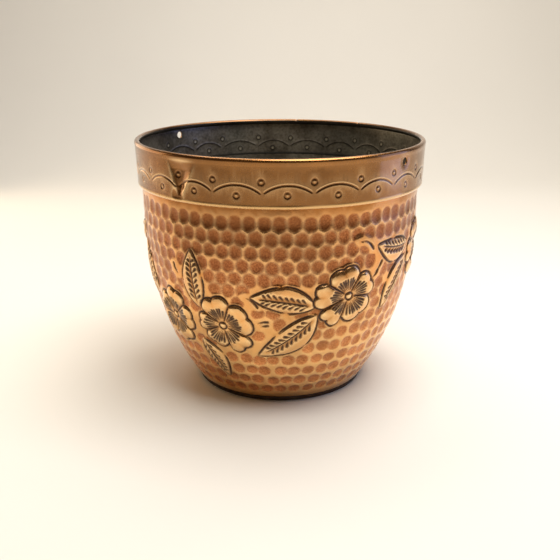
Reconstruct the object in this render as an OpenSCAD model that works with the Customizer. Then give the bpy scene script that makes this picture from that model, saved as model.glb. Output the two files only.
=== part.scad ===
// Brass planter pot: a hammered bowl, a plain rolled band above it and a shallow pan below it.
// Every piece is turned about +Z. The pot stands on z = 0, and its front faces -Y.

/* [Overall size] */
// Height from the table to the top of the rim
pot_h = 217; // [170:1:270]
// Diameter over the rolled rim
rim_d = 250; // [200:1:320]
// Height of the plain band, from its shoulder to the top of the rim
band_h = 38; // [25:1:60]
// Outside diameter of the bowl's lower edge
low_edge_d = 153; // [110:1:190]

/* [Sheet and bowl] */
// Thickness of the sheet that the bowl, band and pan are made of
sheet_t = 1; // [0.6:0.1:1.6]
// Fullness of the bowl: a higher number carries its width further down
belly_power = 2.7; // [2:0.1:3.5]
// How far the bowl's lip stands up inside the band
lip_h = 5; // [3:0.5:8]

/* [Band] */
// How much wider the band is in radius at its rim than at its shoulder
band_flare = 1; // [0:0.1:3]
// Step in radius from the band's face in to the bowl's wall
band_step = 4; // [3.4:0.1:6]
// Outside radius of the rounded shoulder
shoulder_r = 3; // [2:0.1:3.3]
// Diameter of the wire that stiffens the rim
wire_d = 2.6; // [2:0.1:4]
// How far round the wire the rim is rolled, in degrees
curl_wrap = 290; // [240:5:300]
// Diameter of each handle hole
handle_hole_d = 6; // [4:0.1:7]
// Depth of the handle holes below the top of the rim
handle_hole_drop = 9.5; // [8.5:0.5:18]
// Turn of the first handle hole from the front, in degrees, with the other opposite
handle_turn = 52; // [0:1:90]

/* [Base pan] */
// Height of the foot that shows below the bowl's edge
foot_h = 4.4; // [2:0.1:8]
// How far the pan's flange laps up inside the bowl
lap_h = 6; // [3:0.5:12]
// Width of the flat ring that touches the table
stand_w = 9; // [5:0.5:15]
// How far the pan's middle is pressed up
kick_h = 1.5; // [0:0.1:4]
// Width of the slope between the ring and the middle
kick_w = 3; // [2:0.5:6]
// Outside radius of the foot's lower corner
foot_corner_r = 1.6; // [1.6:0.1:2]

/* [Joints and fits] */
// Height of the solder above the pan's flange
base_solder_h = 2.5; // [1:0.5:5]
// How far the middle of the band's solder sags below its edges
solder_sag = 0.8; // [0:0.1:1.5]
// Gap left all round between the wire and the inside of its roll
wire_play = 0.05; // [0:0.01:0.2]

/* [Hidden] */
$fn = 96;

ARC_STEPS = 12;    // facets along a rounded corner of a profile
CURL_STEPS = 36;   // facets along the rolled rim
WALL_STEPS = 26;   // facets up the bowl's curve

rim_r = rim_d / 2;
band_z = pot_h - band_h;            // underside of the band's shoulder
band_r = rim_r - band_flare;        // band's face at the shoulder
mouth_r = band_r - band_step;       // bowl's wall where it enters the band
lip_z = band_z + lip_h;             // top edge of the bowl
low_r = low_edge_d / 2;
curl_r = wire_d / 2 + wire_play + sheet_t;
curl_z = pot_h - curl_r;
curl_x = rim_r - curl_r;
curve_h = band_z - foot_h;          // height of the bowl's curved stretch

// Outside radius of the bowl, and its slope dr/dz, at a height
function wall_r(z) = mouth_r - (mouth_r - low_r) * pow((band_z - z) / curve_h, belly_power);
function wall_slope(z) =
    belly_power * (mouth_r - low_r) / curve_h * pow((band_z - z) / curve_h, belly_power - 1);

// Point under the bowl's outside at a height, sunk by a depth square to the wall
function under_wall(z, depth) =
    let (lean = atan(wall_slope(z))) [wall_r(z) - depth * cos(lean), z + depth * sin(lean)];

// Points of an arc about (x, z), from one angle to another
function arc(x, z, r, from, to, steps) =
    [for (i = [0:steps]) let (a = from + (to - from) * i / steps) [x + r * cos(a), z + r * sin(a)]];

lap_z = foot_h + lap_h;             // height on the wall where the pan's flange ends
solder_z = lap_z + base_solder_h;   // height on the wall where the base solder ends
wall_heights = concat(
    [foot_h, lap_z],
    [for (i = [0:WALL_STEPS]) solder_z + (band_z - solder_z) * i / WALL_STEPS]
);
wall_top = len(wall_heights) - 1;

// Where the pan's outside meets the bowl's inner edge
pan_seat = under_wall(foot_h, sheet_t);

module bowl() {
    color([0.72, 0.45, 0.24])
    rotate_extrude()
    polygon(concat(
        [for (z = wall_heights) under_wall(z, 0)],
        [[mouth_r, lip_z], [mouth_r - sheet_t, lip_z]],
        [for (i = [wall_top:-1:0]) under_wall(wall_heights[i], sheet_t)]
    ));
}

module collar_profile() {
    polygon(concat(
        [[mouth_r, band_z]],
        arc(band_r - shoulder_r, band_z + shoulder_r, shoulder_r, -90, 0, ARC_STEPS),
        arc(curl_x, curl_z, curl_r, 0, curl_wrap, CURL_STEPS),
        arc(curl_x, curl_z, curl_r - sheet_t, curl_wrap, 0, CURL_STEPS),
        arc(band_r - shoulder_r, band_z + shoulder_r, shoulder_r - sheet_t, 0, -90, ARC_STEPS),
        [[mouth_r, band_z + sheet_t]]
    ));
}

// Bore through both walls of the band, along the line of the two handles
module handle_bore() {
    translate([0, 0, pot_h - handle_hole_drop])
    rotate([0, 0, handle_turn])
    rotate([90, 0, 0])
    cylinder(d = handle_hole_d, h = rim_d, center = true);
}

module collar() {
    color([0.80, 0.55, 0.30])
    difference() {
        rotate_extrude() collar_profile();
        handle_bore();
    }
}

// The wire lies on the bottom of its roll.
module rim_wire() {
    color([0.45, 0.44, 0.42])
    rotate_extrude()
    translate([curl_x, curl_z - wire_play])
    circle(d = wire_d);
}

module base_pan() {
    ring_r = pan_seat[0] - stand_w;
    color([0.20, 0.15, 0.11])
    rotate_extrude()
    polygon(concat(
        [[0, kick_h], [ring_r - kick_w, kick_h], [ring_r, 0]],
        arc(pan_seat[0] - foot_corner_r, foot_corner_r, foot_corner_r, -90, 0, ARC_STEPS),
        [pan_seat, under_wall(lap_z, sheet_t)],
        [under_wall(lap_z, 2 * sheet_t), under_wall(foot_h, 2 * sheet_t)],
        arc(pan_seat[0] - foot_corner_r, foot_corner_r, foot_corner_r - sheet_t, 0, -90, ARC_STEPS),
        [[ring_r, sheet_t], [ring_r - kick_w, kick_h + sheet_t], [0, kick_h + sheet_t]]
    ));
}

// Solder that fills the trough between the bowl's lip and the band, with a hollow top
module collar_solder() {
    wall_x = band_r - sheet_t;
    sag_z = lip_z - solder_sag;
    middle_x = (mouth_r + wall_x) / 2;
    color([0.55, 0.54, 0.50])
    rotate_extrude()
    polygon(concat(
        [[mouth_r, band_z + sheet_t]],
        arc(band_r - shoulder_r, band_z + shoulder_r, shoulder_r - sheet_t, -90, 0, ARC_STEPS),
        [[wall_x, sag_z], [middle_x, sag_z], [mouth_r, lip_z]]
    ));
}

// Solder along the top of the pan's flange
module base_solder() {
    color([0.55, 0.54, 0.50])
    rotate_extrude()
    polygon([
        under_wall(lap_z, sheet_t),
        under_wall(solder_z, sheet_t),
        under_wall(lap_z, 2 * sheet_t)
    ]);
}

bowl();
collar();
rim_wire();
base_pan();
collar_solder();
base_solder();
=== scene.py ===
import math

import bmesh
import bpy
import numpy as np
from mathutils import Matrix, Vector


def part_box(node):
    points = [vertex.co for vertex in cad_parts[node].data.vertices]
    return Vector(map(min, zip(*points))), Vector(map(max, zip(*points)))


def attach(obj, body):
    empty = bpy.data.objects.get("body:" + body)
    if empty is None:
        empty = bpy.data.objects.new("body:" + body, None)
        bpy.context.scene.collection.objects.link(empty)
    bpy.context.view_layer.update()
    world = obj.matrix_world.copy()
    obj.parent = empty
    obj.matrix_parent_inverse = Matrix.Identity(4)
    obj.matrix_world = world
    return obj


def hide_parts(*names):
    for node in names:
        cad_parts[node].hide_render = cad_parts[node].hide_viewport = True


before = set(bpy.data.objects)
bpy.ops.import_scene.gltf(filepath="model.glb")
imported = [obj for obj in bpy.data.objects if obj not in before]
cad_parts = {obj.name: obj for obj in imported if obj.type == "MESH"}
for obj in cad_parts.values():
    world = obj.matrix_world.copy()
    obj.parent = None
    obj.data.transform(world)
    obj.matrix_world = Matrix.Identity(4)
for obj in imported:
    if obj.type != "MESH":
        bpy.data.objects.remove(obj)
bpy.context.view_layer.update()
scene = bpy.context.scene
mm = 0.001
chance = np.random.default_rng(27)

# Sizes below are in millimetres, and those that the frame holds are read from it.
bandLow, bandHigh = (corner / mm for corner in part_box("collar"))
bowlLow, bowlHigh = (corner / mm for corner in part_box("bowl"))
wireLow, wireHigh = (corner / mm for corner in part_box("rim_wire"))
rimRadius = bandHigh.x
rimTop = bandHigh.z
bandFoot = bandLow.z
mouthRadius = bowlHigh.x
lipTop = bowlHigh.z
lowEdge = bowlLow.z
wireRadius = (wireHigh.z - wireLow.z) / 2

pot = {
    "sheet": 1.0,           # thickness of the brass
    "lowRadius": 76.5,      # outside radius at the bowl's lower edge
    "fullness": 2.7,        # power of the bowl's curve
    "step": 4.0,            # band's face stands out this far from the bowl
    "shoulder": 3.0,        # radius of the band's lower edge
    "curlWrap": 290.0,      # degrees that the rim is rolled round its wire
    "wirePlay": 0.05,
    "triangles": 190000,    # most that one piece keeps
}


view = {
    "back": 687.5,      # from the pot's axis
    "height": 311.0,
    "down": 18.2,       # degrees below level
    "lens": 50.5,
}

camera = bpy.data.objects.new("camera", bpy.data.cameras.new("camera"))
camera.data.lens = view["lens"]
camera.data.sensor_width = 36
camera.location = (0, -view["back"] * mm, view["height"] * mm)
camera.rotation_euler = (math.radians(90 - view["down"]), 0, 0)
scene.collection.objects.link(camera)
scene.camera = camera
scene.view_settings.view_transform = "Standard"

lamps = {
    # name: (place in metres, size, power in watts, colour)
    "overhead": ((0.35, -0.2, 1.5), (1.1, 1.1), 26, "#FFFAF3"),
    "behind": ((0.0, 0.55, 1.3), (1.4, 0.6), 9, "#FFF9F1"),
    "panelRight": ((0.68, 0.0, 0.27), (0.36, 0.5), 0.85, "#A4B8FF"),
    "panelLeft": ((-0.74, 0.4, 0.3), (0.8, 0.5), 2.0, "#FFE6C4"),
}


def linear(hexColour):
    parts = [int(hexColour[k:k + 2], 16) / 255 for k in (1, 3, 5)]
    parts = [p / 12.92 if p <= 0.04045 else ((p + 0.055) / 1.055) ** 2.4 for p in parts]
    return (*parts, 1.0)


def addNode(tree, kind, inputs=None, **settings):
    node = tree.nodes.new(kind)
    for name, value in settings.items():
        setattr(node, name, value)
    for name, value in (inputs or {}).items():
        if isinstance(value, bpy.types.NodeSocket):
            tree.links.new(value, node.inputs[name])
        else:
            node.inputs[name].default_value = value
    return node


for name, (place, size, power, colour) in lamps.items():
    lamp = bpy.data.lights.new(name, "AREA")
    lamp.shape = "RECTANGLE"
    lamp.size, lamp.size_y = size
    lamp.energy = power
    lamp.color = linear(colour)[:3]
    holder = bpy.data.objects.new(name, lamp)
    holder.location = place
    aim = Vector((0, 0, 0.1)) - holder.location
    holder.rotation_euler = aim.to_track_quat("-Z", "Y").to_euler()
    holder.visible_camera = False
    scene.collection.objects.link(holder)

# a dim warm room for the metal to mirror, and a pale backdrop past the end of the board
world = bpy.data.worlds.new("studio")
world.use_nodes = True
room = world.node_tree.nodes["Background"]
room.inputs["Color"].default_value = linear("#A88E74")
room.inputs["Strength"].default_value = 0.22
backdrop = addNode(world.node_tree, "ShaderNodeBackground", {"Color": linear("#E9E4DA"), "Strength": 0.9})
seen = addNode(world.node_tree, "ShaderNodeLightPath").outputs["Is Camera Ray"]
both = addNode(world.node_tree, "ShaderNodeMixShader", {
    0: seen, 1: room.outputs["Background"], 2: backdrop.outputs["Background"],
})
world.node_tree.links.new(both.outputs["Shader"], world.node_tree.nodes["World Output"].inputs["Surface"])
scene.world = world


board = {
    "halfWidth": 2.2,       # metres, as the next four are
    "front": -1.6,
    "bendStart": 0.9,
    "bendRadius": 0.5,
    "top": 2.2,
    "paint": ("#EAE7DF", "#F0EDE5"),
}


def perMetre(size):
    # noise scale for marks of this size in millimetres
    return 1 / (size * mm)


def finishFloor():
    # matt wall paint rolled on a board: off-white, without shine, faintly stippled
    material = bpy.data.materials.new("matte_painted_board")
    material.use_nodes = True
    tree = material.node_tree
    shader = tree.nodes["Principled BSDF"]
    where = addNode(tree, "ShaderNodeTexCoord").outputs["Object"]
    grain = addNode(tree, "ShaderNodeTexNoise", {"Vector": where, "Scale": perMetre(333)}).outputs["Fac"]
    low, high = board["paint"]
    tone = addNode(tree, "ShaderNodeMix", {
        "Factor": grain, 6: linear(low), 7: linear(high),
    }, data_type="RGBA")
    tree.links.new(tone.outputs[2], shader.inputs["Base Color"])
    shader.inputs["Roughness"].default_value = 0.6
    stipple = addNode(tree, "ShaderNodeTexNoise", {"Vector": where, "Scale": perMetre(3.33)}).outputs["Fac"]
    bump = addNode(tree, "ShaderNodeBump", {"Strength": 0.1, "Distance": 0.3 * mm, "Height": stipple})
    tree.links.new(bump.outputs["Normal"], shader.inputs["Normal"])
    return material


def makeFloor():
    # a board that curves up behind the pot
    bm = bmesh.new()
    bend, radius, half = board["bendStart"], board["bendRadius"], board["halfWidth"]
    outline = [(board["front"], 0.0), (bend, 0.0)]
    for a in np.linspace(0.15, math.pi / 2, 12):
        outline.append((bend + radius * math.sin(a), radius - radius * math.cos(a)))
    outline.append((bend + radius, board["top"]))
    line = [bm.verts.new((-half, y, z)) for y, z in outline]
    edges = [bm.edges.new(pair) for pair in zip(line, line[1:])]
    grown = bmesh.ops.extrude_edge_only(bm, edges=edges)
    ends = [g for g in grown["geom"] if isinstance(g, bmesh.types.BMVert)]
    bmesh.ops.translate(bm, verts=ends, vec=(2 * half, 0, 0))
    bmesh.ops.recalc_face_normals(bm, faces=bm.faces)
    mesh = bpy.data.meshes.new("floor")
    bm.to_mesh(mesh)
    bm.free()
    mesh.shade_smooth()
    floor = bpy.data.objects.new("floor", mesh)
    scene.collection.objects.link(floor)
    mesh.materials.append(finishFloor())


makeFloor()
print("stage ready")


# A wall is first laid out flat as a sheet, with its relief in fields, and then wrapped round.
def layOut(radius, length, columns):
    # radius and length run up the wall; the fields hold one value for each place on it
    shape = (len(length), columns)
    names = ("hollows", "cuts", "burrs", "raised", "dark", "bowls", "motif", "bends")
    sheet = {name: np.zeros(shape) for name in names}
    sheet.update(radius=radius, length=length, columns=columns)
    return sheet


def patch(sheet, turn, height, low, high):
    # the part of a sheet round a place, with the distances across and up from there
    length = sheet["length"]
    rows = np.nonzero((length >= height + low[1]) & (length <= height + high[1]))[0]
    if len(rows) == 0:
        return None
    step = 2 * math.pi / sheet["columns"]
    middle = math.radians(turn)
    narrow = sheet["radius"][rows].min()
    first = math.floor((middle + low[0] / narrow) / step)
    last = math.ceil((middle + high[0] / narrow) / step)
    columns = np.arange(first, last + 1)
    across = sheet["radius"][rows][:, None] * (columns * step - middle)[None, :]
    up = np.repeat((length[rows] - height)[:, None], len(columns), 1)
    return np.ix_(rows, columns % sheet["columns"]), across, up


def raiseField(sheet, name, index, values):
    sheet[name][index] = np.maximum(sheet[name][index], values)


def nearLine(points, across, up):
    # how far each place is from a line of points, and how far along the line it lies, 0 to 1
    gap = np.full(across.shape, 1e9)
    along = np.zeros(across.shape)
    for k in range(len(points) - 1):
        (ax, ay), (bx, by) = points[k], points[k + 1]
        dx, dy = bx - ax, by - ay
        part = np.clip(((across - ax) * dx + (up - ay) * dy) / (dx * dx + dy * dy + 1e-9), 0, 1)
        away = np.hypot(across - ax - part * dx, up - ay - part * dy)
        nearer = away < gap
        gap = np.where(nearer, away, gap)
        along = np.where(nearer, (k + part) / (len(points) - 1), along)
    return gap, along


def chase(sheet, turn, height, points, size, fade=0.15, wedge=False):
    # a line driven in with a blunt chisel: a groove with a dark floor and a slight burr; a wedge
    # starts as a point and ends broad
    width, depth = size
    points = np.asarray(points, float)
    margin = 2 * width
    found = patch(sheet, turn, height, points.min(0) - margin, points.max(0) + margin)
    if not found:
        return
    index, across, up = found
    gap, along = nearLine(points, across, up)
    ends = np.clip(np.minimum(along, 1 - along) / fade, 0, 1) ** 0.6
    if wedge:
        ends = np.clip(along / 0.75, 0.05, 1) ** 0.7
    half = 0.5 * width * (0.45 + 0.55 * ends) if not wedge else 0.5 * width * ends
    raiseField(sheet, "cuts", index, depth * (0.35 + 0.65 * ends) * np.exp(-(gap / half) ** 2))
    raiseField(sheet, "dark", index, np.clip(1.4 - gap / half, 0, 1) * (0.4 + 0.6 * ends))
    burr = np.exp(-((gap - 1.9 * half) / (0.6 * half)) ** 2)
    raiseField(sheet, "burrs", index, 0.22 * depth * ends * burr)


def swing(points, angle):
    c, s = math.cos(math.radians(angle)), math.sin(math.radians(angle))
    return [(x * c - y * s, x * s + y * c) for x, y in points]


def polar(angle, reach):
    return reach * math.cos(math.radians(angle)), reach * math.sin(math.radians(angle))


def blur(field, rows, columns):
    # soft average, wrapped round the pot and held at the top and bottom
    def kernel(width):
        span = np.arange(-math.ceil(2.5 * width), math.ceil(2.5 * width) + 1)
        weights = np.exp(-0.5 * (span / width) ** 2)
        return span, weights / weights.sum()
    span, weights = kernel(columns)
    out = sum(w * np.roll(field, k, 1) for k, w in zip(span, weights))
    span, weights = kernel(rows)
    padded = np.pad(out, ((-span[0], span[-1]), (0, 0)), mode="edge")
    return sum(w * padded[k:k + len(field)] for k, w in enumerate(weights))


bowl = {
    "columns": 1150,
    "spacing": 0.66,        # of the rows, up the wall
    "pitch": 11.6,          # between hammer marks along a row
    "rows": (               # heights of the rows of hammer marks
        167.0, 155.3, 143.9, 132.9, 122.2, 112.0, 102.6, 93.4,
        83.8, 73.0, 61.0, 48.6, 36.8, 25.6, 15.2,
    ),
    "markReach": (6.0, 7.5),    # of a hammer mark from its middle, on the lowest and the highest row
    "markDepth": 0.95,
    "outline": (1.65, 0.75),    # width and depth of a chased line, as are the next six
    "parting": (1.32, 0.75),    # between two petals
    "ring": (1.3, 0.7),
    "petalVein": (1.7, 0.75),
    "leafVein": (2.0, 0.75),
    "midrib": (1.3, 0.6),
    "loose": (1.9, 0.8),
    "middle": 3.2,          # radius of a flower's middle
    "veinReach": 15.5,      # how far the short strokes run out from it
    "petalRise": 2.5,
    "leafRise": 1.9,
    "strokeClear": 3.4,     # hammer marks keep this far off a loose stroke
    "bareFoot": 4.0,        # the outside's finish goes this far up the inside
}


def bowlWall(z):
    # outside radius and the lean of the wall, in radians from upright
    left = np.clip((bandFoot - z) / (bandFoot - lowEdge), 0, 1)
    gain = mouthRadius - pot["lowRadius"]
    radius = mouthRadius - gain * left ** pot["fullness"]
    slope = pot["fullness"] * gain / (bandFoot - lowEdge) * left ** (pot["fullness"] - 1)
    return radius, np.arctan(slope)


def bowlRows():
    z = np.linspace(lowEdge, bandFoot, 4000)
    radius, _ = bowlWall(z)
    length = np.concatenate([[0], np.cumsum(np.hypot(np.diff(z), np.diff(radius)))])
    rows = np.linspace(0, length[-1], round(length[-1] / bowl["spacing"]))
    return rows, np.interp(rows, length, z)


bowlLength, bowlHeight = bowlRows()
bowlRadius, bowlLean = bowlWall(bowlHeight)
bowlSheet = layOut(bowlRadius, bowlLength, bowl["columns"])


def upWall(z):
    return float(np.interp(z, bowlHeight, bowlLength))


# Each flower: turn from the front in degrees, height, the directions of the lines between its
# petals, anticlockwise from the right, and how far each petal reaches from the middle.
flowers = [
    {"turn": 27.9, "height": 105.5, "petals": (64, 147, 203, 254, 354), "reach": (26, 30, 29, 24, 25)},
    {"turn": -24.4, "height": 79.5, "petals": (70, 146, 203, 280, 338), "reach": (27, 23, 22, 28, 26)},
    {"turn": -52.5, "height": 77.5, "petals": (40, 110, 180, 255, 325), "reach": (26, 24, 25, 26, 24)},
    {"turn": 76.0, "height": 128.0, "petals": (75, 150, 215, 290, 365), "reach": (26, 26, 27, 24, 25)},
    {"turn": 117.0, "height": 100.0, "petals": (55, 125, 200, 270, 340), "reach": (28, 26, 27, 28, 25)},
    {"turn": 150.0, "height": 82.0, "petals": (80, 145, 215, 285, 350), "reach": (26, 27, 25, 26, 28)},
    {"turn": 205.0, "height": 108.0, "petals": (50, 130, 195, 265, 345), "reach": (28, 26, 29, 25, 26)},
    {"turn": 255.0, "height": 124.0, "petals": (68, 140, 210, 275, 350), "reach": (25, 28, 26, 27, 26)},
]

# Each leaf: turn and height of its foot, the direction to its tip, length, half width and bend.
leaves = [
    {"turn": 14.0, "height": 99.5, "aim": 171, "length": 53, "half": 11.5, "bend": -3},
    {"turn": 14.9, "height": 91.5, "aim": 222, "length": 60, "half": 12.5, "bend": 4},
    {"turn": -35.0, "height": 93.0, "aim": 93, "length": 50, "half": 10.5, "bend": 2},
    {"turn": -37.0, "height": 62.0, "aim": 290, "length": 42, "half": 8.5, "bend": 3},
    {"turn": 62.0, "height": 137.5, "aim": 172, "length": 46, "half": 10.5, "bend": 5},
    {"turn": 62.0, "height": 128.0, "aim": 236, "length": 52, "half": 10, "bend": -4},
    {"turn": -66.0, "height": 92.0, "aim": 112, "length": 46, "half": 10, "bend": 3},
    {"turn": 101.0, "height": 106.0, "aim": 140, "length": 44, "half": 10, "bend": 4},
    {"turn": 103.0, "height": 92.0, "aim": 222, "length": 48, "half": 10, "bend": -4},
    {"turn": 134.0, "height": 88.0, "aim": 100, "length": 46, "half": 10, "bend": 3},
    {"turn": 165.0, "height": 88.0, "aim": 40, "length": 50, "half": 10.5, "bend": -4},
    {"turn": 164.0, "height": 76.0, "aim": 340, "length": 52, "half": 10.5, "bend": 5},
    {"turn": 219.0, "height": 115.0, "aim": 30, "length": 50, "half": 10.5, "bend": -5},
    {"turn": 219.0, "height": 103.0, "aim": 330, "length": 50, "half": 10, "bend": 4},
    {"turn": 192.0, "height": 116.0, "aim": 130, "length": 42, "half": 9.5, "bend": 3},
    {"turn": 268.0, "height": 118.0, "aim": 322, "length": 54, "half": 10.5, "bend": 5},
    {"turn": 266.0, "height": 134.0, "aim": 20, "length": 46, "half": 9.5, "bend": -4},
]

# Loose strokes by the leaves: turn, height, direction, length and bend.
strokes = [
    {"turn": -9.5, "height": 84.5, "aim": 12, "length": 9, "bend": 0.6},
    {"turn": -8.0, "height": 81.5, "aim": 14, "length": 6, "bend": 0.4},
    {"turn": -14.0, "height": 107.5, "aim": 322, "length": 13, "bend": 1.5},
    {"turn": 39.5, "height": 121.0, "aim": 48, "length": 12, "bend": -1.0},
    {"turn": 38.5, "height": 117.0, "aim": 46, "length": 9, "bend": -0.8},
    {"turn": 31.0, "height": 150.0, "aim": 332, "length": 16, "bend": 2.5},
    {"turn": -44.0, "height": 118.0, "aim": 120, "length": 10, "bend": 1.0},
    {"turn": 92.0, "height": 118.0, "aim": 60, "length": 12, "bend": -1.5},
    {"turn": 140.0, "height": 112.0, "aim": 130, "length": 11, "bend": 1.0},
    {"turn": 184.0, "height": 96.0, "aim": 20, "length": 12, "bend": 1.5},
    {"turn": 232.0, "height": 98.0, "aim": 160, "length": 12, "bend": -1.5},
    {"turn": 280.0, "height": 108.0, "aim": 215, "length": 11, "bend": 1.0},
]


def petalReach(part):
    # a petal's outline from side to side: two round lobes that meet in a notch
    side = np.minimum(part, 1 - part)
    rise = 0.74 + 0.26 * np.sin(0.5 * math.pi * np.clip(side / 0.27, 0, 1)) ** 0.75
    dip = 0.10 * (1 - np.sqrt(np.clip(1 - (np.clip(side - 0.27, 0, 1) / 0.232) ** 2, 0, 1)))
    return rise - dip


def chaseFlower(flower):
    turn, height, reaches = flower["turn"], upWall(flower["height"]), flower["reach"]
    sides = [*flower["petals"], flower["petals"][0] + 360]
    ring = bowl["middle"]

    # petals stand up a little, and keep the hammer marks off
    margin = np.array([1.0, 1.0]) * (max(reaches) + 6)
    index, across, up = patch(bowlSheet, turn, height, -margin, margin)
    away = np.hypot(across, up)
    angle = (np.degrees(np.arctan2(up, across)) - sides[0]) % 360 + sides[0]
    inside = np.full(across.shape, -9.0)
    for k in range(len(reaches)):
        part = (angle - sides[k]) / (sides[k + 1] - sides[k])
        own = (part >= 0) & (part <= 1)
        rim = reaches[k] * petalReach(np.clip(part, 0, 1)) - away
        side = away * np.sin(np.radians(np.clip(np.minimum(angle - sides[k], sides[k + 1] - angle), 0, 90)))
        inside = np.where(own, np.where(rim > 0, np.minimum(rim, side + 0.3), rim), inside)
    raiseField(bowlSheet, "motif", index, np.clip((inside + 2.6) / 1.6, 0, 1))
    raiseField(bowlSheet, "motif", index, np.where(away < 0.6 * min(reaches), 1.0, 0.0))
    puff = bowl["petalRise"] * (1 - np.exp(-np.clip(inside, 0, None) / 4.0)) * np.clip(away / 15, 0.12, 1)
    raiseField(bowlSheet, "raised", index, puff)
    raiseField(bowlSheet, "raised", index, 0.8 * np.clip(1 - (away / ring) ** 2, 0, 1))

    for k in range(len(reaches)):
        span = sides[k + 1] - sides[k]
        outline = [polar(sides[k] + span * t, reaches[k] * petalReach(t)) for t in np.linspace(0, 1, 41)]
        chase(bowlSheet, turn, height, outline, bowl["outline"], fade=0.04)
        join = max(reaches[k], reaches[k - 1]) * 0.76
        parting = [polar(sides[k], ring + 1.2), polar(sides[k], join)]
        chase(bowlSheet, turn, height, parting, bowl["parting"])
        veins = max(5, round(span / 10.8))
        for i in range(veins):
            part = 0.10 + 0.80 * (i + 0.5) / veins
            aim = sides[k] + span * part + chance.uniform(-1.2, 1.2)
            start = ring + chance.uniform(1.8, 2.6)
            stop = bowl["veinReach"] * (0.88 + 0.14 * math.sin(math.pi * part)) + chance.uniform(-0.8, 1.2)
            vein = [polar(aim, start), polar(aim, stop)]
            chase(bowlSheet, turn, height, vein, bowl["petalVein"], wedge=True)
    circle = [polar(a, ring) for a in range(0, 361, 15)]
    chase(bowlSheet, turn, height, circle, bowl["ring"], fade=0.001)


def chaseLeaf(leaf):
    turn, height = leaf["turn"], upWall(leaf["height"])
    length, half, bend, aim = leaf["length"], leaf["half"], leaf["bend"], leaf["aim"]

    def edge(part):
        return half * np.sin(math.pi * np.clip(part, 0, 1) ** 0.85) ** 0.85

    def bow(part):
        return bend * np.sin(math.pi * part)

    def line(start, stop, side):
        parts = np.linspace(start, stop, 17)
        curve = 1.0 if side else 0.4
        return swing([(length * t, curve * bow(t) + side * edge(t)) for t in parts], aim)

    # the leaf's face
    reach = length + 8
    corner = np.array([reach, reach])
    index, across, up = patch(bowlSheet, turn, height, -corner, corner)
    c, s = math.cos(math.radians(aim)), math.sin(math.radians(aim))
    along = (across * c + up * s) / length
    beside = -across * s + up * c - bow(np.clip(along, 0, 1))
    inside = edge(along) - np.abs(beside)
    inside = np.where((along > 0) & (along < 1), inside, -9)
    raiseField(bowlSheet, "motif", index, np.clip((inside + 2.6) / 2.0, 0, 1))
    puff = bowl["leafRise"] * (1 - np.exp(-np.clip(inside, 0, None) / 3.5))
    raiseField(bowlSheet, "raised", index, puff * (1 - 0.5 * np.exp(-(beside / 2.4) ** 2)))

    for start, stop, side in ((0.0, 0.40, 1), (0.44, 1.0, 1), (0.03, 0.55, -1), (0.60, 1.0, -1)):
        chase(bowlSheet, turn, height, line(start, stop, side), bowl["outline"], fade=0.12)
    chase(bowlSheet, turn, height, line(0.10, 0.86, 0), bowl["midrib"], fade=0.1)
    for t in np.arange(0.14, 0.80, 4.6 / length):
        for side in (-1, 1):
            room = float(edge(t + 0.06)) - 2.6
            grow = min(5.2, max(1.5, room)) * chance.uniform(0.9, 1.05)
            start = (length * t, 0.4 * bow(t) + side * 0.9)
            stop = (length * t + 0.8 * grow, 0.4 * bow(t) + side * (0.9 + grow * 0.7))
            vein = swing([start, stop], aim)
            chase(bowlSheet, turn, height, vein, bowl["leafVein"], wedge=True)


def chaseStroke(stroke):
    # a single blow of the chisel, with the hammer marks kept off it
    turn, height = stroke["turn"], upWall(stroke["height"])
    bent = [(stroke["length"] * t, stroke["bend"] * math.sin(math.pi * t)) for t in np.linspace(0, 1, 9)]
    points = np.asarray(swing(bent, stroke["aim"]))
    chase(bowlSheet, turn, height, points, bowl["loose"], wedge=True)
    clear = bowl["strokeClear"]
    index, across, up = patch(bowlSheet, turn, height, points.min(0) - 2 * clear, points.max(0) + 2 * clear)
    gap, _ = nearLine(points, across, up)
    raiseField(bowlSheet, "motif", index, np.clip(1.8 - gap / clear, 0, 1))


for item in flowers:
    chaseFlower(item)
for item in leaves:
    chaseLeaf(item)
for item in strokes:
    chaseStroke(item)


def hammer():
    # rows of round marks, as many as fit round, each row set between the marks of the one below
    levels = [upWall(z) for z in bowl["rows"]]
    columns = bowl["columns"]
    for k, level in enumerate(levels):
        radius = float(np.interp(level, bowlLength, bowlRadius))
        marks = round(2 * math.pi * radius / bowl["pitch"])
        high = 1 - k / (len(levels) - 1)
        start = (k % 2) * 0.5 + chance.uniform(-0.1, 0.1)
        for i in range(marks):
            turn = (i + start + chance.normal(0, 0.045)) * 360 / marks
            place = level + chance.normal(0, 0.45)
            row = int(np.argmin(np.abs(bowlLength - place)))
            column = int(round(turn / 360 * columns)) % columns
            if bowlSheet["motif"][row, column] > 0.6:
                continue
            low, top = bowl["markReach"]
            reach = (low + (top - low) * high ** 0.8) * chance.uniform(0.94, 1.06)
            depth = bowl["markDepth"] * chance.uniform(0.85, 1.15)
            box = np.array([reach + 1, reach + 1])
            index, across, up = patch(bowlSheet, turn, place, -box, box)
            squash = chance.uniform(0.96, 1.05)
            away = np.hypot(across * squash, up / squash) / reach
            cap = np.clip(1 - away ** 2, 0, 1)
            raiseField(bowlSheet, "hollows", index, depth * cap)
            raiseField(bowlSheet, "bowls", index, cap)


hammer()


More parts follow.
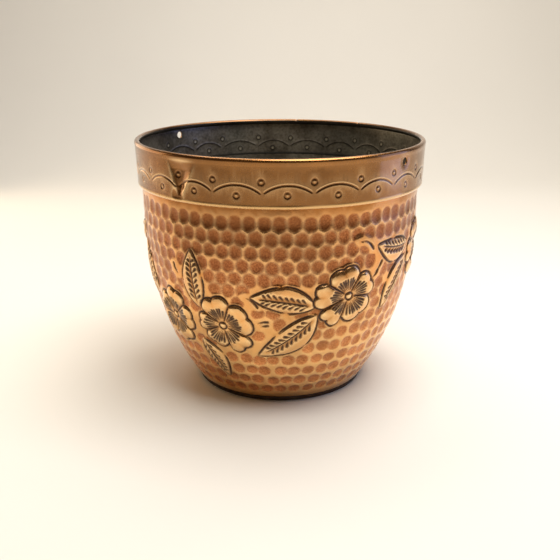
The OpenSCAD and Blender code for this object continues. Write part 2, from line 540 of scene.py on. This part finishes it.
def settle(sheet, keep=0.5):
    # adds the fields up into one relief, and marks the high places, lightened both as rubbed wear and as a
    # painted highlight
    clear = 1 - np.clip(sheet["motif"], 0, 1)
    marks = blur(sheet["hollows"] * clear, 0.55, 0.55)
    sheet["bowls"] = sheet["bowls"] * clear
    body = sheet["raised"] - marks + sheet["bends"]
    sheet["relief"] = body - sheet["cuts"] + sheet["burrs"]
    soft = blur(sheet["relief"], 3.0, 3.0)
    sheet["wearAndHighlight"] = np.clip((sheet["relief"] - soft) / keep, 0, 1)
    sheet["within"] = blur(body - sheet["cuts"], 0.9, 0.9)
    # the dark lines spread out, which paints shade beside them on the bowl
    sheet["halo"] = blur(sheet["dark"], 2.2, 2.2)


def wobble(sheet, amount, waves):
    # slow unevenness of a wall raised by hand
    turns = np.arange(sheet["columns"]) * 2 * math.pi / sheet["columns"]
    for around, upDown in waves:
        shift, lift = chance.uniform(0, 6.28, 2)
        field = np.outer(np.cos(sheet["length"] / upDown + lift), np.cos(around * turns + shift))
        sheet["bends"] += amount * field / len(waves)


wobble(bowlSheet, 0.5, ((2, 90), (3, 60), (5, 45), (9, 30), (14, 22)))
settle(bowlSheet)
print("bowl laid out")


def wrap(name, stations, sheet):
    # stations: (radius, height, way out in radius and height, row of the relief, share, inside or not,
    # and the finish, 0 for the outside's, 1 for the lining's and 2 for the soldered lip's)
    rows, columns = len(stations), sheet["columns"]
    bm = bmesh.new()
    bmesh.ops.create_grid(bm, x_segments=columns, y_segments=rows, size=0.5)
    mesh = bpy.data.meshes.new(name)
    bm.to_mesh(mesh)
    bm.free()
    flat = np.empty(len(mesh.vertices) * 3, np.float32)
    mesh.vertices.foreach_get("co", flat)
    flat = flat.reshape(-1, 3)
    column = np.round((flat[:, 0] + 0.5) * columns).astype(int) % columns
    row = np.round((flat[:, 1] + 0.5) * rows).astype(int) % rows
    table = np.array([station[:6] for station in stations], float)
    within = np.array([station[6] for station in stations], bool)
    finish = np.array([station[7] for station in stations])
    # three rows each side of where the outside turns into the inside keep all their points
    turned = within != np.roll(within, 1)
    edge = sum(np.roll(turned, k).astype(int) for k in (-3, -2, -1, 0, 1, 2)) > 0
    source = table[:, 4]
    lowRow = np.clip(np.floor(source).astype(int), 0, len(sheet["length"]) - 2)
    part = np.clip(source - lowRow, 0, 1)

    def read(field):
        return field[lowRow[row], column] * (1 - part[row]) + field[lowRow[row] + 1, column] * part[row]

    push = np.where(within[row], read(sheet["within"]), read(sheet["relief"])) * table[row, 5]
    radius = table[row, 0] + table[row, 2] * push
    height = table[row, 1] + table[row, 3] * push
    turn = column * 2 * math.pi / columns
    spot = np.stack([radius * np.sin(turn), -radius * np.cos(turn), height], 1) * mm
    mesh.vertices.foreach_set("co", spot.astype(np.float32).ravel())
    for field in ("dark", "bowls", "wearAndHighlight", "halo"):
        layer = mesh.attributes.new(field, "FLOAT", "POINT")
        values = read(sheet[field]) * table[row, 5]
        layer.data.foreach_set("value", values.astype(np.float32))
    layer = mesh.attributes.new("edge", "FLOAT", "POINT")
    layer.data.foreach_set("value", edge[row].astype(np.float32))
    faces = np.empty(len(mesh.polygons) * 4, np.int32)
    mesh.polygons.foreach_get("vertices", faces)
    own = finish[row][faces.reshape(-1, 4)].max(1)
    mesh.polygons.foreach_set("material_index", own.astype(np.int32))
    mesh.update()

    bm = bmesh.new()
    bm.from_mesh(mesh)
    seam = [v for v in bm.verts if v.is_boundary]
    bmesh.ops.remove_doubles(bm, verts=seam, dist=1e-7)
    bmesh.ops.recalc_face_normals(bm, faces=bm.faces)
    return bm, mesh


def thinned(bm, mesh):
    # keeps the fine shading of the full wall on a lighter mesh, and its edges as they are
    bm.to_mesh(mesh)
    bm.free()
    edges = np.empty(len(mesh.vertices), np.float32)
    mesh.attributes["edge"].data.foreach_get("value", edges)
    mesh.shade_smooth()
    fine = np.empty(len(mesh.vertices) * 3, np.float32)
    mesh.vertex_normals.foreach_get("vector", fine)
    layer = mesh.attributes.new("fineNormal", "FLOAT_VECTOR", "POINT")
    layer.data.foreach_set("vector", fine)
    piece = bpy.data.objects.new(mesh.name, mesh)
    scene.collection.objects.link(piece)
    faces = sum(len(p.vertices) - 2 for p in mesh.polygons)
    lighter = piece.modifiers.new("thin", "DECIMATE")
    lighter.ratio = min(1.0, pot["triangles"] / faces)
    lighter.use_collapse_triangulate = True
    free = piece.vertex_groups.new(name="free")
    free.add(np.nonzero(edges < 0.5)[0].tolist(), 1.0, "REPLACE")
    lighter.vertex_group = "free"
    graph = bpy.context.evaluated_depsgraph_get()
    thin = bpy.data.meshes.new_from_object(piece.evaluated_get(graph))
    piece.modifiers.clear()
    piece.data = thin
    thin.name = mesh.name + "_wall"
    bpy.data.meshes.remove(mesh)
    fine = np.empty(len(thin.vertices) * 3, np.float32)
    thin.attributes["fineNormal"].data.foreach_get("vector", fine)
    fine = fine.reshape(-1, 3)
    fine /= np.linalg.norm(fine, axis=1, keepdims=True) + 1e-9
    thin.attributes.remove(thin.attributes["fineNormal"])
    thin.attributes.remove(thin.attributes["edge"])
    thin.normals_split_custom_set_from_vertices(fine)
    return piece


def makeBowl():
    stations = []
    sheetRows = len(bowlLength)
    thick = pot["sheet"]
    for k in range(sheetRows):
        lean = bowlLean[k]
        stations.append((bowlRadius[k], bowlHeight[k], math.cos(lean), -math.sin(lean), k, 1, False, 0))
    last = sheetRows - 1
    # the lip's top takes the solder's finish, darkened as painted shade under the band
    for z in np.linspace(bandFoot, lipTop, 5)[1:]:
        stations.append((mouthRadius, z, 1, 0, last, 0, False, 2 if z == lipTop else 0))
    for z in np.linspace(lipTop, bandFoot, 4)[:-1]:
        stations.append((mouthRadius - thick, z, 1, 0, last, 0, True, 2 if z == lipTop else 1))
    for k in np.linspace(last, 0, sheetRows // 3):
        lean = float(np.interp(k, range(sheetRows), bowlLean))
        radius = float(np.interp(k, range(sheetRows), bowlRadius)) - thick * math.cos(lean)
        height = float(np.interp(k, range(sheetRows), bowlHeight)) + thick * math.sin(lean)
        finish = 0 if height < lowEdge + bowl["bareFoot"] else 1
        stations.append((radius, height, math.cos(lean), -math.sin(lean), k, 1, True, finish))
    return thinned(*wrap("hammered_bowl", stations, bowlSheet))


def quietEnds(sheet, low, high):
    # fades the relief out near the edges, so that the pan and the band still fit
    length = sheet["length"]
    fade = np.clip(length / low, 0, 1) * np.clip((length[-1] - length) / high, 0, 1)
    for field in ("relief", "within"):
        sheet[field] *= (fade * fade * (3 - 2 * fade))[:, None]


quietEnds(bowlSheet, 6.0, 5.0)
bowlPiece = makeBowl()
print("bowl", len(bowlPiece.data.polygons))


band = {
    "columns": 1320,
    "spacing": 0.6,
    "scallops": 22,
    "cusps": (-55.5, -39.6, -23.9, -6.2, 11.8, 28.8, 44.8, 61.7),   # turns; the rest are evenly spaced
    "cuspHeight": 190.6,
    "crestHeight": 197.9,
    "upperPunch": 200.5,
    "lowerPunch": 190.2,
    "sag": 2.2,             # the pattern runs lower round the back by this much
    "punchRadius": 2.2,
    "punchLine": (0.95, 0.30),      # width and depth of the chased line, as is the next
    "scallopLine": (1.25, 0.5),
    "holeTurn": 52.0,
    "holeDrop": 9.5,
    "holeRadius": 3.0,
    "holeDish": 0.9,
    "dentTurn": -37.5,
    "dentTop": 212.0,
    "dentFoot": 186.0,
    "dentDepth": 2.2,
    "nicks": (172.0, 141.0),    # turns
    "setBack": 0.35,            # the worked face lies this far inside the true one
    "shoulderSteps": 9,         # rows round the shoulder, and round the curl
    "curlSteps": 33,
}


def bandPath():
    # outside of the band from its inner foot, round the shoulder, up the face and over the wire
    thick = pot["sheet"]
    shoulder = pot["shoulder"]
    faceRadius = mouthRadius + pot["step"]
    curl = wireRadius + pot["wirePlay"] + thick
    path = [(mouthRadius + 0.02, bandFoot, 0, -1)]
    for a in np.radians(np.linspace(-90, 0, band["shoulderSteps"])):
        path.append((
            faceRadius - shoulder + shoulder * math.cos(a),
            bandFoot + shoulder + shoulder * math.sin(a), math.cos(a), math.sin(a),
        ))
    faceTop = rimTop - curl
    steps = round((faceTop - bandFoot - shoulder) / band["spacing"])
    for t in np.linspace(0, 1, steps + 1)[1:-1]:
        path.append((
            faceRadius + (rimRadius - faceRadius) * t,
            bandFoot + shoulder + (faceTop - bandFoot - shoulder) * t, 1, 0,
        ))
    for a in np.radians(np.linspace(0, pot["curlWrap"], band["curlSteps"])):
        path.append((
            rimRadius - curl + curl * math.cos(a), faceTop + curl * math.sin(a),
            math.cos(a), math.sin(a),
        ))
    return np.array(path)


bandWay = bandPath()
bandLength = np.concatenate([[0], np.cumsum(np.hypot(np.diff(bandWay[:, 0]), np.diff(bandWay[:, 1])))])
faceEnd = int(np.argmax(bandWay[:, 0]))
bandSheet = layOut(bandWay[:, 0], bandLength, band["columns"])


def curlRow(degrees):
    # row of the band's sheet this far round the curl
    return faceEnd + round(band["curlSteps"] * degrees / pot["curlWrap"])


def upBand(z):
    return float(np.interp(z, bandWay[:faceEnd, 1], bandLength[:faceEnd]))


def punchRing(turn, height):
    radius = band["punchRadius"]
    circle = [polar(a, radius) for a in range(0, 361, 20)]
    chase(bandSheet, turn, upBand(height), circle, band["punchLine"], fade=0.001)
    box = np.array([4.0, 4.0])
    index, across, up = patch(bandSheet, turn, upBand(height), -box, box)
    away = np.hypot(across, up)
    raiseField(bandSheet, "raised", index, 0.4 * np.exp(-(away / 0.8) ** 2))
    # on the lining these spots become a painted highlight on each punch mark's back
    raiseField(bandSheet, "bowls", index, np.exp(-(away / 1.1) ** 2))
    bandSheet["bends"][index] -= 0.3 * np.exp(-(away / 2.6) ** 2)


def chaseScallops():
    cusps = list(band["cusps"])
    faceRow = 20        # any row low on the face
    rest = band["scallops"] - len(cusps) + 1
    step = (cusps[0] + 360 - cusps[-1]) / rest
    cusps += [cusps[-1] + step * (k + 1) + chance.uniform(-0.8, 0.8) for k in range(rest - 1)]
    cusps.append(cusps[0] + 360)
    for left, right in zip(cusps, cusps[1:]):
        middle = (left + right) / 2
        width = math.radians(right - left) * bandWay[faceRow, 0]
        sunk = band["sag"] * 0.5 * (1 - math.cos(math.radians(middle)))
        low, high = band["cuspHeight"] - sunk + chance.uniform(-0.5, 0.5), band["crestHeight"] - sunk
        gap = 0.02 + 0.03 * chance.random()
        arc = []
        for t in np.linspace(gap, 1 - gap, 21):
            rise = 1 - (2 * t - 1) ** 2
            arc.append(((t - 0.5) * width, (high - low) * rise ** 0.85))
        chase(bandSheet, middle, upBand(low), arc, band["scallopLine"], fade=0.05)
        for turn, height in ((left, band["upperPunch"]), (middle, band["lowerPunch"])):
            punchRing(turn + chance.uniform(-0.6, 0.6), height - sunk + chance.uniform(-0.7, 0.7))


def dentBand():
    # an old knock: a V-shaped fold below the rim, with a small dish under its point
    turn, top, foot = band["dentTurn"], band["dentTop"], band["dentFoot"]
    index, across, up = patch(bandSheet, turn, upBand(foot), (-26, -8), (26, 26))
    rise = np.clip(up / (top - foot), 0, 1)
    half = 3.0 + 12.0 * rise
    lean = across + 1.5 - 3.0 * rise
    side = np.clip(1 - np.abs(lean / half) ** 1.6, 0, 1)
    sharp = np.where(lean < 0, side ** 0.9, side ** 1.4)
    deep = np.clip(up / 7 + 0.2, 0, 1) * np.clip((upBand(top) - upBand(foot) - up) / 7, 0, 1)
    bandSheet["bends"][index] -= band["dentDepth"] * sharp * deep
    index, across, up = patch(bandSheet, turn - 2.0, upBand(foot - 1.0), (-9, -9), (9, 9))
    bandSheet["bends"][index] -= 0.7 * np.clip(1 - np.hypot(across / 6.5, up / 6) ** 2, 0, 1)


def dishHoles():
    for turn in (band["holeTurn"], band["holeTurn"] + 180):
        height = upBand(rimTop - band["holeDrop"])
        index, across, up = patch(bandSheet, turn, height, (-12, -10), (12, 10))
        away = np.hypot(across, up)
        bandSheet["bends"][index] -= band["holeDish"] * np.exp(-(away / 5.0) ** 2)


chaseScallops()
wobble(bandSheet, 0.35, ((3, 40), (5, 25), (8, 18), (13, 14), (21, 10)))
dentBand()
dishHoles()
settle(bandSheet, keep=0.2)
bandSheet["dark"][curlRow(125):] = 1.0     # painted shadow under the curl
bandSheet["dark"][faceEnd - 6:faceEnd] = 0.0
for field in ("relief", "within"):
    bandSheet[field] -= band["setBack"]
print("band laid out")


def quietBand():
    # the shoulder and the rolled rim stay true, but for two nicks in the rim
    length = bandSheet["length"]
    shoulderEnd = bandLength[band["shoulderSteps"]]
    rimStart = bandLength[faceEnd]
    rise = np.clip((length - shoulderEnd * 0.6) / 3.0, 0, 1)
    rise *= np.clip((rimStart - 0.5 - length) / 3.0, 0, 1)
    for field in ("relief", "within"):
        bandSheet[field] *= rise[:, None]
    for turn in band["nicks"]:
        index, across, up = patch(bandSheet, turn, rimStart, (-3, 0.5), (3, 7))
        bandSheet["relief"][index] -= 0.55 * np.exp(-(across / 0.7) ** 2)


quietBand()


def cutHole(bm, turn):
    # opens the band where a handle was fixed: both walls are cut and joined round the edge
    way = Vector((math.sin(math.radians(turn)), -math.cos(math.radians(turn)), 0))
    middle = Vector((0, 0, (rimTop - band["holeDrop"]) * mm))
    radius = band["holeRadius"] * mm

    def offset(point):
        rest = point - middle
        return rest - way * rest.dot(way)

    near = [f for f in bm.faces if f.calc_center_median().dot(way) > 0.1]
    gone = [f for f in near if offset(f.calc_center_median()).length < radius]
    bmesh.ops.delete(bm, geom=gone, context="FACES")
    rims = [e for e in bm.edges if e.is_boundary]
    for v in {v for e in rims for v in e.verts}:
        out = offset(v.co)
        v.co += out.normalized() * (radius - out.length)
    bridged = bmesh.ops.bridge_loops(bm, edges=rims)
    for f in bridged["faces"]:
        f.material_index = 0


def makeBand():
    thick = pot["sheet"]
    rows = len(bandWay)
    hidden = curlRow(150)       # where the curl turns down, out of reach
    stations = []
    for k, (radius, height, outR, outZ) in enumerate(bandWay):
        stations.append((radius, height, outR, outZ, k, 1, False, 1 if k > hidden else 0))
    for k in range(rows - 1, -1, -1):
        radius, height, outR, outZ = bandWay[k]
        finish = 0 if k < band["shoulderSteps"] + 3 else 1
        stations.append((radius - thick * outR, height - thick * outZ, outR, outZ, k, 1, True, finish))
    bm, mesh = wrap("rolled_band", stations, bandSheet)
    for turn in (band["holeTurn"], band["holeTurn"] + 180):
        cutHole(bm, turn)
    return thinned(bm, mesh)


bandPiece = makeBand()
print("band", len(bandPiece.data.polygons))


def newMaterial(name):
    material = bpy.data.materials.new(name)
    material.use_nodes = True
    tree = material.node_tree
    where = addNode(tree, "ShaderNodeTexCoord").outputs["Object"]
    return material, tree, tree.nodes["Principled BSDF"], where


def readFields(tree, *names):
    # the sheet's fields, as the mesh carries them
    return [addNode(tree, "ShaderNodeAttribute", attribute_name=name).outputs["Fac"] for name in names]


def overlay(tree, base, coats):
    # lays colours over a base, one after another, each with how much of it shows
    for share, colour in coats:
        mixer = addNode(tree, "ShaderNodeMix", {"Factor": share, 6: base, 7: colour}, data_type="RGBA")
        base = mixer.outputs[2]
    return base


def stains(tree, where, size, low, high, most):
    # slow clouds of darker patina, 0 where the metal is clean
    cloud = addNode(tree, "ShaderNodeTexNoise", {
        "Vector": where, "Scale": perMetre(size), "Detail": 5.0, "Roughness": 0.6, "Distortion": 0.4,
    }).outputs["Fac"]
    return addNode(tree, "ShaderNodeMapRange", {
        "Value": cloud, "From Min": low, "From Max": high, "To Max": most,
    }).outputs["Result"]


def pitted(tree, shader, grain, strength, depth):
    # fine unevenness in the surface, its depth in millimetres
    bump = addNode(tree, "ShaderNodeBump", {"Strength": strength, "Distance": depth * mm, "Height": grain})
    tree.links.new(bump.outputs["Normal"], shader.inputs["Normal"])


bowlFinish = {
    "ridge": ("#C67A3A", "#EAA258"),
    "hollow": ("#8C4E2C", "#C07A48"),
    # painted light: this colour and the next make the bowl brighter towards the foot
    "paintedLightRidge": "#FFC67C",
    "paintedLightHollow": ("#CE7E48", "#F2AA6A"),
    "brownHollow": "#74401E",
    "stain": "#7E5530",
    # painted shade under the band's overhang
    "paintedShadeUnderBand": "#8A5428",
    # painted shade beside the chased lines
    "paintedShadeByLines": "#7E4C22",
    # rubbed wear on the high places, and a painted highlight there too
    "wearAndHighlightTint": "#FCD69C",
    "line": "#2C180A",
    "roughness": (0.14, 0.28),      # on the ridges and in the hollows
    "lacquer": 0.15,
}


def hammeredBrass():
    # copper-toned brass, hammered, darkened, rubbed back and lacquered: gold on the ridges, pink-brown
    # in the hollows, nearly black in the chased lines; painted light makes it brighter towards the foot,
    # painted shade darkens it under the band and beside the chased lines, and the rubbed ridges also carry
    # a painted highlight
    material, tree, shader, where = newMaterial("hammered_antiqued_brass")
    shade = {name: linear(value) for name, value in bowlFinish.items() if isinstance(value, str)}
    dark, hollow, wearAndHighlight, halo = readFields(tree, "dark", "bowls", "wearAndHighlight", "halo")
    cloud = addNode(tree, "ShaderNodeTexNoise", {
        "Vector": where, "Scale": perMetre(35.7), "Detail": 4.0,
    }).outputs["Fac"]
    grain = addNode(tree, "ShaderNodeTexNoise", {
        "Vector": where, "Scale": perMetre(1.25), "Detail": 3.0,    # coarser than real, so that it shows
    }).outputs["Fac"]
    speckle = addNode(tree, "ShaderNodeMapRange", {
        "Value": grain, "From Min": 0.35, "From Max": 0.65,
    }).outputs["Result"]
    height = addNode(tree, "ShaderNodeSeparateXYZ", {"Vector": where}).outputs["Z"]
    # painted light: a mask that brightens the colours towards the foot
    low = addNode(tree, "ShaderNodeMapRange", {
        "Value": height, "From Min": 0.13, "From Max": 0.05,
    }).outputs["Result"]
    # painted shade: the bowl's top darkens where the band overhangs it
    paintedShadeUnderBand = addNode(tree, "ShaderNodeMapRange", {
        "Value": height, "From Min": 0.13, "From Max": 0.17, "To Max": 0.3,
    }).outputs["Result"]
    inHollow = addNode(tree, "ShaderNodeMapRange", {
        "Value": hollow, "From Min": 0.14, "From Max": 0.40,
    }).outputs["Result"]
    # painted shade: darker beside the chased lines, spread from their dark floors
    near = addNode(tree, "ShaderNodeMapRange", {
        "Value": halo, "From Min": 0.04, "From Max": 0.45, "To Max": 0.65,
    }).outputs["Result"]
    # the high places lighter: rubbed wear and a painted highlight
    bright = addNode(tree, "ShaderNodeMath", {0: wearAndHighlight, 1: 0.9}, operation="MULTIPLY").outputs[0]

    first, second = (linear(value) for value in bowlFinish["ridge"])
    ridge = overlay(tree, first, [(cloud, second), (low, shade["paintedLightRidge"])])
    first, second = (linear(value) for value in bowlFinish["paintedLightHollow"])
    paintedLightHollow = overlay(tree, first, [(speckle, second)])
    first, second = (linear(value) for value in bowlFinish["hollow"])
    patchy = stains(tree, where, 13.33, 0.42, 0.66, 0.4)
    deep = overlay(tree, first, [(speckle, second), (low, paintedLightHollow), (patchy, shade["brownHollow"])])
    body = overlay(tree, ridge, [
        (inHollow, deep), (stains(tree, where, 91, 0.46, 0.68, 0.45), shade["stain"]),
        (paintedShadeUnderBand, shade["paintedShadeUnderBand"]), (near, shade["paintedShadeByLines"]),
        (bright, shade["wearAndHighlightTint"]), (dark, shade["line"]),
    ])
    tree.links.new(body, shader.inputs["Base Color"])

    smooth, dull = bowlFinish["roughness"]
    rough = addNode(tree, "ShaderNodeMapRange", {
        "Value": inHollow, "To Min": smooth, "To Max": dull,
    }).outputs["Result"]
    for field, amount in ((grain, 0.10), (dark, 0.3)):
        rough = addNode(tree, "ShaderNodeMath", {
            0: field, 1: amount, 2: rough,
        }, operation="MULTIPLY_ADD").outputs[0]
    tree.links.new(rough, shader.inputs["Roughness"])
    metal = addNode(tree, "ShaderNodeMapRange", {
        "Value": dark, "To Min": 1.0, "To Max": 0.4,
    }).outputs["Result"]
    tree.links.new(metal, shader.inputs["Metallic"])
    shader.inputs["Coat Weight"].default_value = bowlFinish["lacquer"]
    shader.inputs["Coat Roughness"].default_value = 0.12
    pitted(tree, shader, grain, 0.3, 0.2)
    return material


bandFinish = {
    "metal": ("#845626", "#B67E42"),
    "stain": "#6A4020",
    # rubbed wear on the high places, and a painted highlight there too
    "wearAndHighlightTint": "#F4CE98",
    # painted highlight along the shoulder's lower edge
    "shoulder": "#F0C688",
    "line": "#2A1A0E",
    "roughness": (0.12, 0.30),
    "lacquer": 0.55,
}


def satinBrass():
    # the same sheet, smoothed, rubbed and lacquered: a soft sheen with brown stains and fine scratches; the
    # rubbed high places also carry a painted highlight, and a painted highlight runs along the shoulder
    material, tree, shader, where = newMaterial("satin_rubbed_brass")
    shade = {name: linear(value) for name, value in bandFinish.items() if isinstance(value, str)}
    dark, wearAndHighlight = readFields(tree, "dark", "wearAndHighlight")
    cloud = addNode(tree, "ShaderNodeTexNoise", {
        "Vector": where, "Scale": perMetre(33.3), "Detail": 6.0, "Roughness": 0.65,
    }).outputs["Fac"]
    grain = addNode(tree, "ShaderNodeTexNoise", {
        "Vector": where, "Scale": perMetre(1.43), "Detail": 3.0,
    }).outputs["Fac"]
    # the high places lighter: rubbed wear and a painted highlight
    bright = addNode(tree, "ShaderNodeMath", {0: wearAndHighlight, 1: 0.85}, operation="MULTIPLY").outputs[0]
    # the dark lines are the chased lines' patina; high on the curl's inner turn the same dark is a painted
    # shadow
    lines = addNode(tree, "ShaderNodeMath", {0: dark, 1: 0.55}, operation="MULTIPLY").outputs[0]
    height = addNode(tree, "ShaderNodeSeparateXYZ", {"Vector": where}).outputs["Z"]
    # painted highlight: the shoulder lightens towards its rounded edge
    edge = addNode(tree, "ShaderNodeMapRange", {
        "Value": height, "To Max": 0.7,
        "From Min": (bandFoot + 4.0) * mm, "From Max": (bandFoot + 2.4) * mm,
    }).outputs["Result"]
    first, second = (linear(value) for value in bandFinish["metal"])
    tone = overlay(tree, first, [
        (cloud, second), (stains(tree, where, 71.4, 0.45, 0.70, 0.6), shade["stain"]),
        (bright, shade["wearAndHighlightTint"]), (edge, shade["shoulder"]), (lines, shade["line"]),
    ])
    tree.links.new(tone, shader.inputs["Base Color"])
    smooth, dull = bandFinish["roughness"]
    rough = addNode(tree, "ShaderNodeMapRange", {
        "Value": cloud, "To Min": smooth, "To Max": dull,
    }).outputs["Result"]
    rough = addNode(tree, "ShaderNodeMath", {
        0: grain, 1: 0.10, 2: rough,
    }, operation="MULTIPLY_ADD").outputs[0]
    tree.links.new(rough, shader.inputs["Roughness"])
    shader.inputs["Metallic"].default_value = 1.0
    shader.inputs["Coat Weight"].default_value = bandFinish["lacquer"]
    shader.inputs["Coat Roughness"].default_value = 0.08
    pitted(tree, shader, grain, 0.2, 0.1)
    return material


liningFinish = {
    "metal": ("#746C60", "#B6B0A2"),
    "green": "#5C6864",
    "speck": "#2E2A22",
    # painted highlight on the backs of the punch and hammer marks
    "wearAndHighlightTint": "#D2CCB4",
    # dirt on the chased lines' backs, and painted shadow under the curl
    "grimeAndShadow": "#120E0A",
    "roughness": (0.28, 0.52),
}


def tarnishedBrass():
    # bare brass left unpolished inside: grey to greenish tarnish, dull, with little metal showing; dirt
    # stays along the raised backs of the chased lines, a painted shadow darkens the wall under the curl,
    # and the backs of the punch and hammer marks are painted lighter as a highlight
    material, tree, shader, where = newMaterial("tarnished_brass")
    shade = {name: linear(value) for name, value in liningFinish.items() if isinstance(value, str)}
    dark, spots = readFields(tree, "dark", "bowls")
    cloud = addNode(tree, "ShaderNodeTexNoise", {
        "Vector": where, "Scale": perMetre(38.5), "Detail": 7.0, "Roughness": 0.7,
    }).outputs["Fac"]
    grain = addNode(tree, "ShaderNodeTexNoise", {
        "Vector": where, "Scale": perMetre(2.38), "Detail": 4.0,
    }).outputs["Fac"]
    patches = addNode(tree, "ShaderNodeTexNoise", {
        "Vector": where, "Scale": perMetre(111), "Detail": 2.0,
    }).outputs["Fac"]
    blot = addNode(tree, "ShaderNodeMapRange", {
        "Value": cloud, "From Min": 0.36, "From Max": 0.64,
    }).outputs["Result"]
    green = addNode(tree, "ShaderNodeMapRange", {
        "Value": patches, "From Min": 0.48, "From Max": 0.66, "To Max": 0.55,
    }).outputs["Result"]
    speckle = addNode(tree, "ShaderNodeMapRange", {
        "Value": grain, "From Min": 0.4, "From Max": 0.7, "To Max": 0.45,
    }).outputs["Result"]
    grimeAndShadow = addNode(tree, "ShaderNodeMath", {0: dark, 1: 0.85}, operation="MULTIPLY").outputs[0]
    first, second = (linear(value) for value in liningFinish["metal"])
    tone = overlay(tree, first, [
        (blot, second), (green, shade["green"]), (speckle, shade["speck"]),
        (spots, shade["wearAndHighlightTint"]), (grimeAndShadow, shade["grimeAndShadow"]),
    ])
    tree.links.new(tone, shader.inputs["Base Color"])
    shader.inputs["Metallic"].default_value = 0.7
    smooth, dull = liningFinish["roughness"]
    rough = addNode(tree, "ShaderNodeMapRange", {
        "Value": cloud, "To Min": smooth, "To Max": dull,
    }).outputs["Result"]
    tree.links.new(rough, shader.inputs["Roughness"])
    pitted(tree, shader, grain, 0.4, 0.3)
    return material


def dullMetal(name, low, high, rough, metallic=1.0, gloss=0.5):
    # rolled, drawn or cast metal under dirt and oxide: dark, mottled and nearly matt
    material, tree, shader, where = newMaterial(name)
    cloud = addNode(tree, "ShaderNodeTexNoise", {
        "Vector": where, "Scale": perMetre(8.33), "Detail": 5.0,
    }).outputs["Fac"]
    tree.links.new(overlay(tree, linear(low), [(cloud, linear(high))]), shader.inputs["Base Color"])
    shade = addNode(tree, "ShaderNodeMapRange", {
        "Value": cloud, "To Min": rough - 0.08, "To Max": rough + 0.12,
    }).outputs["Result"]
    tree.links.new(shade, shader.inputs["Roughness"])
    shader.inputs["Metallic"].default_value = metallic
    shader.inputs["Specular IOR Level"].default_value = gloss
    pitted(tree, shader, cloud, 0.3, 0.3)
    return material


lining = tarnishedBrass()
# the pan's near-black is partly dull oxide and partly painted shade at the pot's foot
panFinish = dullMetal("oxidised_and_shaded_brass", "#362A22", "#55463A", 0.34)
# the solder and the bowl's lip are darkened nearly black: dirt, and painted shade in the gap under the band
solderFinish = dullMetal("dirty_and_shaded_soft_solder", "#1C1A16", "#302D26", 0.8, metallic=0.5, gloss=0.15)
wireFinish = dullMetal("drawn_iron_wire", "#4A4540", "#6E6760", 0.45)

for material in (hammeredBrass(), lining, solderFinish):
    bowlPiece.data.materials.append(material)
for material in (satinBrass(), lining):
    bandPiece.data.materials.append(material)


def refinish(node, material):
    # a CAD node keeps its shape and gets its real finish
    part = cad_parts[node]
    if not part.material_slots:
        part.data.materials.append(material)
    for slot in part.material_slots:
        slot.material = material


refinish("base_pan", panFinish)
refinish("collar_solder", solderFinish)
refinish("base_solder", solderFinish)
refinish("rim_wire", wireFinish)

for piece, node, slot in ((bowlPiece, "bowl", "hammered_brass"), (bandPiece, "collar", "plain_brass")):
    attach(piece, "root")
    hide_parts(node)
print("finishes ready")
